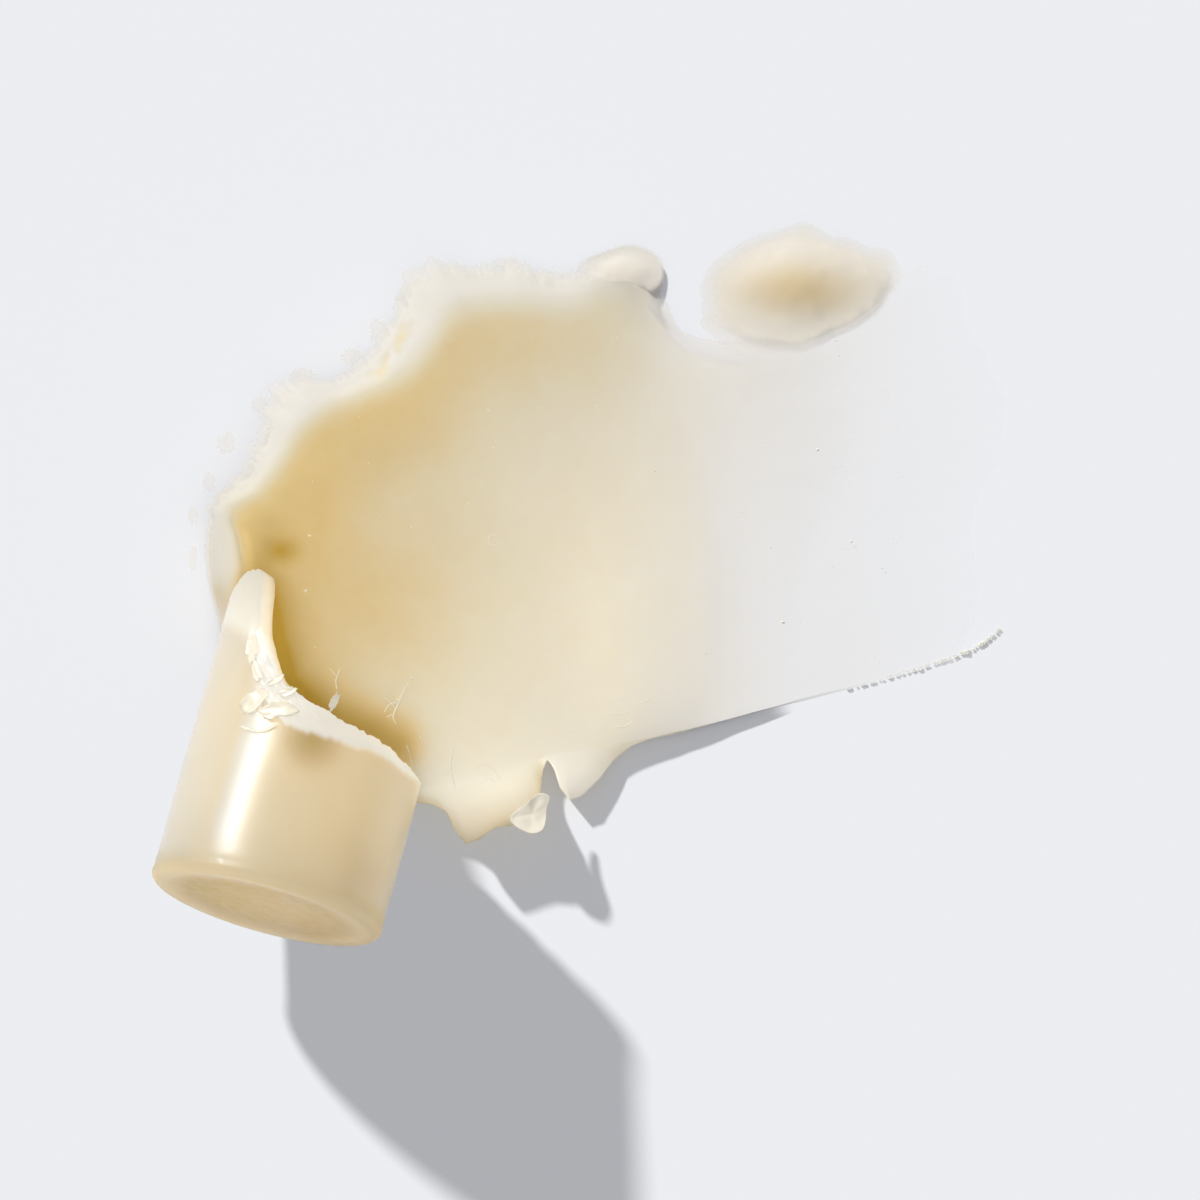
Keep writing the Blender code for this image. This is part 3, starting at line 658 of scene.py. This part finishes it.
# the spread, from the stub to the far end of the film: pixels of its foot, crest and lower edge, then
# the crest's height, the length of the hollow behind it and the bed's height, in millimetres
spread = dict(
    stations=[
        ((233, 646), (250, 640), (398, 797), 3.9, 0.9, 2.8),
        ((220, 604), (249, 598), (420, 791), 4.2, 0.9, 2.6),
        ((206, 562), (248, 567), (446, 786), 4.3, 0.9, 2.4),
        ((204, 530), (242, 543), (470, 782), 4.3, 1.1, 2.3),
        ((213, 500), (236, 513), (490, 778), 4.2, 2, 2.3),
        ((234, 477), (264, 490), (508, 773), 4, 3.4, 2.35),
        ((254, 446), (288, 460), (524, 765), 3.9, 4.4, 2.4),
        ((266, 412), (302, 436), (540, 758), 3.8, 5.2, 2.4),
        ((300, 388), (328, 412), (554, 753), 3.7, 5.8, 2.3),
        ((345, 374), (366, 395), (568, 750), 3.5, 6, 2.2),
        ((382, 334), (410, 373), (586, 748), 3.3, 6, 2.05),
        ((404, 300), (434, 345), (606, 745), 3.1, 6, 1.9),
        ((434, 272), (456, 315), (628, 741), 2.9, 6, 1.7),
        ((478, 270), (490, 307), (652, 737), 2.6, 5.6, 1.5),
        ((520, 267), (528, 305), (678, 731), 2.3, 5.4, 1.3),
        ((562, 276), (568, 308), (705, 725), 2, 5, 1.1),
        ((598, 266), (604, 292), (732, 718), 1.8, 4.5, 0.9),
        ((633, 266), (632, 290), (757, 711), 1.6, 4, 0.75),
        ((662, 300), (652, 312), (780, 705), 1.1, 3, 0.62),
        ((684, 334), (690, 347), (802, 698), 0.45, 2, 0.5),
        ((736, 345), (741, 356), (826, 692), 0.38, 2, 0.4),
        ((800, 332), (802, 343), (852, 686), 0.3, 2, 0.3),
        ((860, 306), (861, 316), (884, 678), 0.24, 2, 0.24),
        ((912, 272), (913, 284), (916, 669), 0.18, 2, 0.18),
        ((952, 258), (953, 272), (952, 657), 0.14, 2, 0.14),
        ((988, 252), (990, 266), (1000, 630), 0.1, 2, 0.1)],
    # how many pixels the far end bulges, from the ridge at 0 to the lower edge at 1
    bulge=[(0, 0), (0.13, 8), (0.2, 30), (0.33, 60), (0.5, 52), (0.58, 26), (0.69, 14),
           (0.82, 27), (0.92, 20), (1, 0)],
    filmFrom=17, flapEnd=(6.6, 0.4), dripFrom=(6.9, 0.4), dripEnd=(13, -4),
    # the lip's edge: place along the stations, pixel, millimetres above the floor
    lip=[(0, 400, 801, 2.4), (0.5, 415, 803, 2.7), (1.1, 432, 804, 3), (1.5, 446, 812, 3.2),
         (1.9, 456, 832, 3.4), (2.3, 466, 844, 3.5), (2.8, 480, 839, 3.6), (3.4, 495, 828, 3.9),
         (4.2, 514, 825, 4), (5, 528, 827, 4.1), (5.6, 536, 815, 3.6), (6, 540, 803, 2.8),
         (6.4, 540, 793, 1.7), (6.8, 543, 769, 0.9), (7.1, 548, 758, 0.35), (7.5, 554, 769, 0.6),
         (8, 560, 788, 1.1), (8.5, 570, 800, 1.4), (9.2, 582, 796, 1.4), (10, 600, 778, 1.1),
         (10.8, 613, 761, 0.85), (11.7, 631, 746, 0.6), (12.6, 650, 739, 0.5), (14, 681, 732.5, 0.45),
         (16.5, 746, 714, 0.35), (19.3, 808, 700, 0.25), (20, 826, 695, 0.22), (21, 852, 688.5, 0.2),
         (22, 884, 680.5, 0.17), (23, 916, 671.5, 0.14), (24, 952, 659.5, 0.12), (25, 1000, 632, 0.1)],
    lipThickness=0.45, columns=350, outerRows=34, hollowRows=40, bedRows=46, lipRows=20, hollowReach=9,
    # how far the rim crumbles out past its foot, in millimetres along the stations
    crumble=[(2, 0), (3, 0.3), (4.2, 0.6), (5, 0.7), (6, 0.9), (7, 0.9), (7.7, 1.5), (8.3, 0.8), (9, 0.6),
             (10, 0.8), (11, 1), (11.7, 1.6), (12.1, 2.3), (12.5, 1.6), (13, 0.7), (13.6, 0.8), (14.2, 1.1),
             (15, 0.6), (15.8, 0.7), (16.6, 0.5), (17.4, 0.3), (25, 0.1)],
    crumbleWaves=((0.6, 2.1, 1.5), (0.4, 5, 4.5), (0.2, 12, 7.5)),
    lumps=[(0.12, 2, 2.6), (0.04, 3, 0.9)], crestLumps=[(0.3, 1, 4.5)],
    rimLumps=[(0.3, 4, 1.5), (0.08, 5, 0.7)], fullLumps=2.5, sideSpan=(-0.95, 0.72), rearFade=4,
    # along the stations: cover, warmth, the painted shade behind the crest, the rim's whiteness and the film
    cover=[(0, 1), (19, 1), (21, 0.85), (22.5, 0.6), (24, 0.3), (24.6, 0)],
    warmth=[(0, 0.75), (8, 0.6), (12, 0.42), (16, 0.22), (19, 0.1), (25, 0)],
    shade=[(0, 0.8), (7, 0.85), (9, 1), (13, 1), (16, 0.7), (18, 0)],
    white=[(0, 0.45), (4.5, 0.6), (6, 1), (9, 1), (11.5, 0.8)],
    film=[(14, 0), (18, 0.3), (20, 0.7), (22, 1)],
    # warm spots: pixel, how much flatter than a disc each is, and its radius in pixels
    nearSpot=(350, 610, 4 / 3, 140), forkSpot=(219, 596, 0.6, 8), cornerSpot=(283, 551, 1.3, 17),
    tearLine=[(256, 600), (268, 645), (286, 686), (330, 716), (372, 733), (395, 745)], tearWidth=27,
    crevice=[(373, 381), (384, 367), (394, 354), (403, 337), (407, 326)],
)


def railPoint(column, place):
    pixels = [Vector(station[column]) for station in spread["stations"]]
    return photoPlace(*curveThrough(pixels, place))


def stationValue(column, place):
    return curveThrough([station[column] for station in spread["stations"]], place) * mm


def warmth(pixel, spot):
    x, y, flatter, radius = spread[spot]
    return bump(hypot(pixel.x - x, (pixel.y - y) * flatter), 0, radius)


def rearEdge(share, height):
    # a point on the floor just clear of the stub's torn face, for a body of that height
    side = mix(*spread["sideSpan"], share)
    reach = tearReach(side) + 0.3 * mm
    sine = -stub["axis"].z
    cosine = sqrt(1 - sine * sine)
    onFace = (height - stub["centre"].z + reach * sine) / cosine
    flat = Vector((stub["axis"].x, stub["axis"].y, 0)).normalized()
    place = stub["centre"] + flat * (reach * cosine + onFace * sine) + stub["right"] * side * stub["radius"]
    return Vector((place.x, place.y, 0))


def lipEdge(place):
    x, y, height = [readOff([(row[0], row[k]) for row in spread["lip"]], place) for k in (1, 2, 3)]
    return photoPlace(x, y, height * mm)


def buildSpread():
    bm = newMesh()
    last = len(spread["stations"]) - 1
    outer = spread["outerRows"]
    hollow = outer + spread["hollowRows"]
    bed = hollow + spread["bedRows"]
    rows = bed + spread["lipRows"]
    columns = {}

    def column(u):
        if u not in columns:
            place = u * last
            foot, crest, lower = [railPoint(k, place) for k in range(3)]
            reach = readOff(spread["crumble"], place) * mm
            reach *= 1 + wavy(place, spread["crumbleWaves"])
            foot = foot + (foot - crest).normalized() * max(reach, 0.0)
            columns[u] = dict(place=place, foot=foot, crest=crest, lower=lower, inset=(crest - foot).length,
                              span=(lower - crest).length, crestHeight=stationValue(3, place),
                              hollow=stationValue(4, place), bed=stationValue(5, place), lip=lipEdge(place))
        return columns[u]

    def shape(u, v):
        at = column(u)
        place = at["place"]
        row = v * rows
        past = 0.0
        lip = 0.0
        if row <= outer:
            way = row / outer
            inset = -at["inset"] * (1 - way)
            point = mix(at["foot"], at["crest"], way)
            thin = min(0.15 * mm, 0.8 * at["crestHeight"])
            height = mix(thin, at["crestHeight"], ease(way) ** 1.25)
        else:
            if row <= hollow:
                inset = spread["hollowReach"] * mm * ((row - outer) / spread["hollowRows"]) ** 1.3
            elif row <= bed:
                inset = mix(spread["hollowReach"] * mm, at["span"], (row - hollow) / spread["bedRows"])
            else:
                inset = at["span"]
                lip = (row - bed) / spread["lipRows"]
            past = inset / at["span"]
            point = mix(at["crest"], at["lower"], past)
            flat = at["bed"] * (1 - 0.25 * past * past)
            height = mix(flat, at["crestHeight"], exp(-1.8 * (inset / at["hollow"]) ** 2))
        fade = max(0, 1 - place / spread["rearFade"]) ** 2
        if fade:
            start = column(0.0)
            share = row / rows if row <= outer else mix(outer / rows, 1.0, past)
            point = point + (rearEdge(share, height) - mix(start["foot"], start["lower"], share)) * fade
        far = max(0, (place - spread["filmFrom"]) / (last - spread["filmFrom"])) ** 2.5
        point.x += readOff(spread["bulge"], past) / photo["pixelsPerMm"] * mm * far
        under = 0.0
        if lip:
            edge = at["lip"]
            point = mix(point, Vector((edge.x, edge.y, 0)), lip)
            thick = mix(height, min(spread["lipThickness"] * mm, height), ease(lip * 2.2))
            height = mix(height, max(edge.z, 0.2 * mm), ease(lip * 0.85) / ease(0.85))
            under = max(height - thick, 0.0)
        pixel = photoPixel(point)
        # lumps, strongest outside the crest, gone where the wax is thin
        amount = min(height / mm / spread["fullLumps"], 1.0)
        outside = ease(-inset / (1.6 * mm)) if inset < 0 else 0.0
        lump = bump(inset / mm, 0, 2.5) * lumpy(point, spread["crestLumps"])
        lump += lumpy(point, spread["lumps"]) + outside * lumpy(point, spread["rimLumps"])
        gap = nearLine(pixel, spread["crevice"])
        groove = bump(gap, 0, 6.5) * ease(0.45 + 1.5 * grain(point.x, point.y, 6.5, 0.85 * mm))
        lump += 0.08 * bump(gap, 10, 5.0) - 0.5 * groove
        height = max(height + lump * mm * amount, under + 0.05 * mm)
        # amber behind the crest as painted shade, deeper amber by the tear where the wax is thick and the
        # pocket is
        #         # painted shade, pale outside the crest, whiter towards the film
        shade = bump(max(inset / mm - 2.0, 0.0), 0, 5.0) * ease((inset / mm + 0.6) / 2.2)
        thinner = mix(1.0, 0.3, past)
        amber = mix(0.1, readOff(spread["warmth"], place) * thinner, ease((inset / mm + 1.2) / 2.0))
        amber += 0.42 * shade * readOff(spread["shade"], place)
        amber += 1.3 * bump(nearLine(pixel, spread["tearLine"]), 0, spread["tearWidth"]) + 0.5 * groove
        # the corner spot is deeper amber in the hollow behind the left wall, partly painted shade
        amber += 0.42 * warmth(pixel, "nearSpot") + 0.8 * warmth(pixel, "cornerSpot")
        amber += 0.9 * warmth(pixel, "forkSpot")
        film = readOff(spread["film"], place + 5.0 * (past - 0.35))
        cover = 1.0
        border = 0.0
        if inset < 0:
            out = inset + at["inset"]
            cover = ease(out / (readOff(spread["crumble"], place) * 1.4 * mm + 0.7 * mm))
            border = ease(1 - out / (0.7 * mm))
        if place > spread["filmFrom"]:
            cover = mix(cover, ease((past + 0.06) * 9), climb(place, spread["filmFrom"], 2))
        cover *= readOff(spread["cover"], place)
        # a painted glow on the lower bed, away from the film
        lit = 0.28 * ease(past * 1.6 - 0.3) * (1 - film)
        white = outside * (1 - min(groove * 1.6, 1.0)) * readOff(spread["white"], place)
        shown = dict(amber=amber, cover=cover, torn=white, film=film, lit=lit)
        gentle = 0.45 + 0.4 * bump(inset / mm - 1.5, 0, 4.0)
        shown["soft"] = mix(gentle, 0.95, max(border, min(film * 3, 1.0), 0.6 * outside))
        thick = height - under > 1.0 * mm and not film
        hidden = dict(amber=amber, cover=cover if thick else 0.0, film=film)
        if lip:
            hidden["cover"] = cover * ease(1 - film * 1.5)
            # a painted glow on the lip's side and underside
            hidden["lit"] = 0.3
            dripping = climb(place, *spread["dripFrom"]) * climb(place, *spread["dripEnd"])
            flapping = 1 - climb(place, *spread["flapEnd"])
            # the flap, which faces the lamp, is painted deeper amber: painted shade
            shown["amber"] = amber * (1 - 0.8 * dripping) + 0.7 * lip * flapping
            shown["torn"] = 0.15 * lip * flapping
            shown["lit"] = mix(lit, 0.35 * dripping, min(lip * 2, 1.0))
            shown["soft"] = 0.6
        return Vector((point.x, point.y, height)), Vector((point.x, point.y, under)), shown, hidden

    addSheet(bm, spread["columns"], rows, shape)
    nodes = ["smear_bed", "left_wall", "lower_ridge", "upper_ridge", "smear_film", "lifted_flap",
             "drip_tongue"]
    return newPiece("balmSpread", bm, spreadWax("spreadWax", wax["spreadDepth"]), nodes)


# soft mounds: outline, the oval that they round off to inside it, height in mm, a warm spot with its size
# in pixels, and blend, the way in which each runs out, how far that is, and where it starts
mounds = dict(
    balmDollop=dict(
        node="dollop", height=1.9, top=(796, 284), oval=(100, 64), warm=(798, 291, 72, 32, 0.8), base=0.15,
        cells=110, lit=0, edge=2.6, full=0.2, blend=(-0.6, 0.8, 125, 0.6),
        outline=[(924, 268), (914, 286), (900, 306), (876, 326), (838, 349), (792, 369), (748, 376),
                 (710, 366), (690, 340), (684, 306), (690, 274), (709, 252), (740, 236), (770, 224),
                 (800, 216), (826, 217), (853, 229), (879, 240), (903, 249), (918, 258)]),
    ridgeEnd=dict(
        node="ridge_end", height=1.6, top=(624, 278), oval=(44, 33), warm=(596, 306, 34, 16, 0.35), base=0.2,
        cells=70, lit=0.1, edge=5, full=0.7, blend=(-0.6, 0.8, 36, -0.2),
        outline=[(669, 272), (664, 289), (654, 302), (640, 314), (616, 322), (588, 322), (566, 308),
                 (560, 284), (576, 262), (598, 251), (614, 246), (632, 242), (652, 247), (665, 258)]),
)
moundLumps = [(0.2, 5, 2.8), (0.08, 6, 1.2)]


def buildMound(name, values, material):
    bm = newMesh()
    top = Vector(values["top"])
    outline = [Vector(point) for point in values["outline"]]
    warmX, warmY, warmWide, warmHigh, warmRise = values["warm"]
    blendX, blendY, blendReach, blendFrom = values["blend"]

    def shape(u, v):
        away, turn = squareToDisc(u, v)
        angle = 2 * pi * turn
        oval = top + Vector((cos(angle) * values["oval"][0], sin(angle) * values["oval"][1]))
        pixel = mix(top, mix(oval, loopThrough(outline, turn), away ** 1.5), away)
        point = photoPlace(*pixel)
        rough = 0.06 * grain(point.x, point.y, 8.5, 1.6 * mm) * away ** 3
        point = mix(photoPlace(*top), point, 1 + rough)
        rise = mix(ease(1 - away), max(0, 1 - away * away), values["full"])
        lumps = lumpy(point, moundLumps) * min(1, 2 * rise)
        point.z = max((values["height"] * rise + lumps) * mm, 0.05 * mm)
        hot = bump(hypot((pixel.x - warmX) / warmWide, (pixel.y - warmY) / warmHigh), 0, 1.0)
        joined = ((pixel - top).x * blendX + (pixel - top).y * blendY) / blendReach
        cover = ease((1 - away) * values["edge"]) * ease(1 - (joined - blendFrom) / (1 - blendFrom))
        shown = dict(amber=values["base"] + warmRise * hot, cover=cover, lit=values["lit"],
                     torn=(0.25 + 0.5 * ease(1.3 * away)) * (1 - hot),
                     soft=mix(0.65, 1.0, ease((away - 0.5) * 2.5)))
        return point, Vector((point.x, point.y, 0)), shown, dict(cover=0.0)

    addSheet(bm, values["cells"], values["cells"], shape)
    return newPiece(name, bm, material, [values["node"]])


def seatOn(piece):
    # says how high the top of a finished piece is at a pixel
    tree = BVHTree.FromPolygons([vert.co.copy() for vert in piece.data.vertices],
                                [tuple(face.vertices) for face in piece.data.polygons])

    def height(x, y):
        place = photoPlace(x, y)
        hit = tree.ray_cast(Vector((place.x, place.y, 30 * mm)), Vector((0, 0, -1)))[0]
        return hit.z if hit else 0.0
    return height


# soft pale flakes on the paper, each where its own part stands beside the crumbled rim
fringe = dict(nodes=11, grown=(0.95, 1.1), rise=0.07, cover=0.72, cells=18, seed=4)


def buildFringe():
    bm = newMesh()
    chance = random.Random(fringe["seed"])
    nodes = numbered("rim_flake", fringe["nodes"])
    for k, node in enumerate(nodes):
        low, high = [Vector(corner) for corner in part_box(node)]
        middle = (low + high) / 2
        reach = (high - low) / 2 * mix(*fringe["grown"], chance.random())

        def shape(u, v):
            out, turn = squareToDisc(u, v)
            angle = 2 * pi * turn
            away = out * ragged(angle, k, ((0.2, 1.5, 0.5), (0.2, 4, 4.5)))
            x = middle.x + cos(angle) * reach.x * away
            y = middle.y + sin(angle) * reach.y * away
            height = (0.02 + fringe["rise"] * (1 - out)) * mm
            shown = dict(amber=0.1, cover=fringe["cover"] * ease((1 - out) * 1.7), soft=1.0)
            return Vector((x, y, height)), Vector((x, y, 0)), shown, dict(cover=0.0)

        addSheet(bm, fringe["cells"], fringe["cells"], shape)
    return newPiece("rimFlakes", bm, tornWax("rimFlakeWax", 0.5, "thinPale", 0.06), nodes)


# the ragged lower edge of the film
teeth = dict(line=[(846, 689), (880, 680), (910, 671), (940, 662), (965, 653), (985, 643), (1000, 630)],
             count=44, length=(0.16, 0.42), width=(0.16, 0.34), lean=0.25, ways=(-25, 35), seed=9, nodes=8)


def buildTeeth():
    bm = newMesh()
    chance = random.Random(teeth["seed"])
    line = [Vector(point) for point in teeth["line"]]
    for k in range(teeth["count"]):
        place = (k + chance.random()) / teeth["count"] * (len(line) - 1)
        pixel = curveThrough(line, place)
        angle = radians(mix(*teeth["ways"], chance.random()))
        way = Vector((cos(angle), sin(angle), 0))
        size = chance.random() ** 1.5
        root = photoPlace(pixel.x, pixel.y, 0.1 * mm) - way * 0.1 * mm
        length = mix(*teeth["length"], size) * mm
        width = mix(*teeth["width"], size) * mm
        addFlake(bm, root, way, Vector((0, 0, 1)), length, width, teeth["lean"] * chance.random(), k + 300, 6)
    nodes = numbered("film_tooth", teeth["nodes"])
    return newPiece("filmTeeth", bm, tornWax("toothWax", 1.2, "film", 0.03), nodes)


# the pale flake folded up at the edge of the flap: pixels and millimetres above the floor
flake = dict(outline=[(541, 793, 3.2), (550, 797, 3.0), (547, 808, 3.3), (546, 820, 3.8), (543, 830, 4.3),
                      (534, 834, 4.4), (523, 831, 4.5), (514, 825, 4.5), (510, 818, 4.4), (517, 810, 4.3),
                      (526, 804, 4.1), (534, 797, 3.6)],
             thickness=0.18 * mm, crumple=0.18, cells=30)


def buildFlake():
    bm = newMesh()
    outline = [Vector(point) for point in flake["outline"]]
    centre = sum(outline, Vector()) / len(outline)

    def shape(u, v):
        away, turn = squareToDisc(u, v)
        spot = mix(centre, loopThrough(outline, turn), away)
        spot.z += flake["crumple"] * grain(spot.x / 14, spot.y / 14, 1.0)
        top = photoPlace(spot.x, spot.y, spot.z * mm)
        shown = dict(amber=0.05, cover=1.0)
        return top, top - Vector((0, 0, flake["thickness"])), shown, shown

    addSheet(bm, flake["cells"], flake["cells"], shape)
    return newPiece("paleFlake", bm, tornWax("flakeWax", 1.5), ["pale_flake"])


# hair-fine strands of wax lying on the smear and the flap, and the rim of one burst bubble
strands = dict(
    # pixels along each, and its width in millimetres
    lines=[([(409, 683), (403, 694), (398, 706), (394, 716), (397, 724)], 0.11),
           ([(398, 702), (390, 704), (385, 712)], 0.07), ([(396, 708), (389, 700), (384, 698)], 0.06),
           ([(393, 714), (387, 717)], 0.06), ([(407, 744), (411, 756), (413, 768)], 0.07),
           ([(456, 741), (453, 752), (451, 764), (453, 778), (457, 792)], 0.1),
           ([(476, 770), (481, 764), (489, 767)], 0.06), ([(488, 764), (496, 771), (500, 779)], 0.07),
           ([(484, 781), (491, 778), (497, 784)], 0.06), ([(430, 723), (437, 722), (442, 726)], 0.05),
           ([(341, 668), (337, 680), (338, 690)], 0.07), ([(337, 676), (331, 668)], 0.05),
           ([(612, 703), (620, 699), (627, 701)], 0.06),
           ([(604, 716), (613, 713), (622, 714), (632, 709)], 0.07),
           ([(614, 727), (625, 726), (633, 721)], 0.08), ([(566, 729), (575, 731), (584, 725)], 0.06),
           ([(640, 703), (648, 700), (653, 695)], 0.06)],
    bubble=(494, 540, 5.4, 0.07),        # pixel, radius in pixels and width
    rise=0.6, sunk=0.04, cells=26, cellsAcross=4,
)


def addStrand(bm, pixels, width, height):
    line = [Vector(pixel) for pixel in pixels]
    last = len(line) - 1
    shown = dict(amber=0.15)

    def shape(u, v):
        place = u * last
        pixel = curveThrough(line, place)
        ahead = curveThrough(line, min(place + 0.05, last)) - curveThrough(line, max(place - 0.05, 0.0))
        ahead.normalize()
        wide = width * sqrt(max(0.02, 1 - (2 * u - 1) ** 4)) * (1 + 0.35 * grain(u * 9, pixel.x))
        seat = height(pixel.x, pixel.y)
        point = photoPlace(pixel.x, pixel.y)
        across = Vector((-ahead.y, -ahead.x, 0)) * (v - 0.5) * wide * mm
        over = sqrt(max(0, 1 - (2 * v - 1) ** 2)) * wide * mm * strands["rise"]
        top = point + across + Vector((0, 0, seat + over + 0.01 * mm))
        low = point + across + Vector((0, 0, max(seat - strands["sunk"] * mm, 0.0)))
        return top, low, shown, shown

    addSheet(bm, strands["cells"], strands["cellsAcross"], shape)


def buildStrands(height):
    bm = newMesh()
    for pixels, width in strands["lines"]:
        addStrand(bm, pixels, width, height)
    x, y, radius, width = strands["bubble"]
    turns = [2 * pi * k / 12 for k in range(12)]
    ring = [(x + radius * cos(turn), y + radius * sin(turn)) for turn in turns]
    addStrand(bm, ring, width, height)
    return newPiece("balmStrands", bm, tornWax("strandWax", 1.2), [])


# specks of wax left on the smear, where it is thicker than least
crumbs = dict(count=120, across=(250, 900), down=(330, 760), radius=(0.03, 0.09), least=0.15, seed=12)


def buildCrumbs(height):
    bm = newMesh()
    chance = random.Random(crumbs["seed"])
    for k in range(crumbs["count"]):
        x = mix(*crumbs["across"], chance.random())
        y = mix(*crumbs["down"], chance.random())
        radius = mix(*crumbs["radius"], chance.random() ** 3) * mm
        seat = height(x, y)
        stretch = Vector((1.0, 1 + chance.random(), 0.6))
        turn = chance.random() * pi
        if seat < crumbs["least"] * mm:
            continue
        ball = bmesh.ops.create_icosphere(bm, subdivisions=1, radius=radius)["verts"]
        for vert in ball:
            spot = Vector((vert.co.x * stretch.x, vert.co.y * stretch.y))
            spot.rotate(Matrix.Rotation(turn, 2))
            vert.co = photoPlace(x, y) + Vector((spot.x, spot.y, seat + vert.co.z * stretch.z))
            paint(bm, vert, amber=0.2)
    return newPiece("balmCrumbs", bm, tornWax("crumbWax", 1.4), [])


# the paper, the sky, the lamp and the camera
studio = dict(floor=sheen("f7f9fb"), floorGlow=0.06, floorDrop=0.02 * mm, floorReach=1.5,
              sunStrength=2.98, sunAngle=3.0, elevation=28.0, shadowWay=(0.62, -0.785),
              sky=(0.99, 0.985, 1.03), skyStrength=0.4)


def buildStudio():
    bm = bmesh.new()
    bmesh.ops.create_grid(bm, x_segments=1, y_segments=1, size=studio["floorReach"])
    mesh = bpy.data.meshes.new("floor")
    bm.to_mesh(mesh)
    bm.free()
    floor = newObject("floor", mesh)
    floor.location.z = -studio["floorDrop"]
    made = Maker("floorPaper")
    made.set(Base_Color=studio["floor"], Emission_Color=studio["floor"], Roughness=0.9,
             Specular_IOR_Level=0.0)
    seen = made.ray("Is Camera Ray") + made.ray("Is Glossy Ray") + made.ray("Is Transmission Ray")
    made.set(Emission_Strength=seen.held() * studio["floorGlow"])
    mesh.materials.append(made.material)

    way = Vector((*studio["shadowWay"], 0)).normalized()
    angle = radians(studio["elevation"])
    direction = way * cos(angle) - Vector((0, 0, sin(angle)))
    lamp = bpy.data.lights.new("keyLamp", "SUN")
    lamp.energy = studio["sunStrength"]
    lamp.angle = radians(studio["sunAngle"])
    newObject("keyLamp", lamp).rotation_euler = direction.to_track_quat("-Z", "Y").to_euler()

    world = bpy.data.worlds.new("studioLight")
    world.use_nodes = True
    sky = world.node_tree.nodes["Background"].inputs
    sky["Color"].default_value = (*studio["sky"], 1.0)
    sky["Strength"].default_value = studio["skyStrength"]
    bpy.context.scene.world = world
    bpy.context.scene.view_settings.view_transform = "Standard"

    lens = bpy.data.cameras.new("camera")
    lens.sensor_width = photo["sensor"]
    frameWidth = photo["width"] / photo["pixelsPerMm"] * mm
    lens.lens = photo["sensor"] * photo["cameraHeight"] / frameWidth
    lens.clip_start = 0.01
    camera = newObject("camera", lens)
    camera.location = (0, 0, photo["cameraHeight"])
    bpy.context.scene.camera = camera


buildStub()
print("stub done")
buildTear()
print("tear done")
balm = buildSpread()
print("spread done")
moundWax = spreadWax("moundWax", wax["moundDepth"], 0.8)
for moundName, moundValues in mounds.items():
    buildMound(moundName, moundValues, moundWax)
print("mounds done")
seat = seatOn(balm)
buildFringe()
buildTeeth()
buildFlake()
buildStrands(seat)
buildCrumbs(seat)
print("flakes, strands and crumbs done")
buildStudio()
print("studio done")
